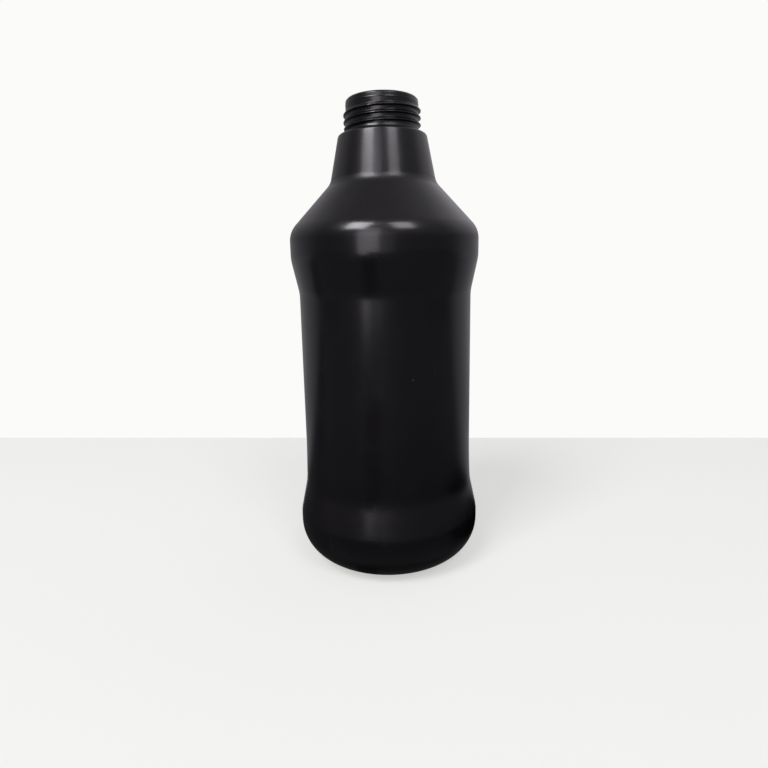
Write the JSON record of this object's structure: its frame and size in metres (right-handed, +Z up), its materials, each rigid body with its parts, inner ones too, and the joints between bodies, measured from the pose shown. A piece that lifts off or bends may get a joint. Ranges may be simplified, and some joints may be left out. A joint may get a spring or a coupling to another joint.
{
  "type": "screw neck plastic bottle",
  "caption": "Round one-piece blow-moulded plastic bottle, matte black, with a recessed waist, sloped shoulder, conical top and open threaded neck.",
  "frame": {"origin": "centre of the ring that the bottle stands on, on its axis", "axes": "+Z up along the bottle's axis, out of its mouth; +X lies in the mould's parting plane, and -Y faces the viewer of the picture"},
  "size_m": [0.0948, 0.0948, 0.2287],
  "materials": {
    "black_moulding": "satin black moulded polyethylene, smoother on the neck"
  },
  "bodies": {
    "root": {"bottle": "black_moulding"}
  },
  "joints": []
}
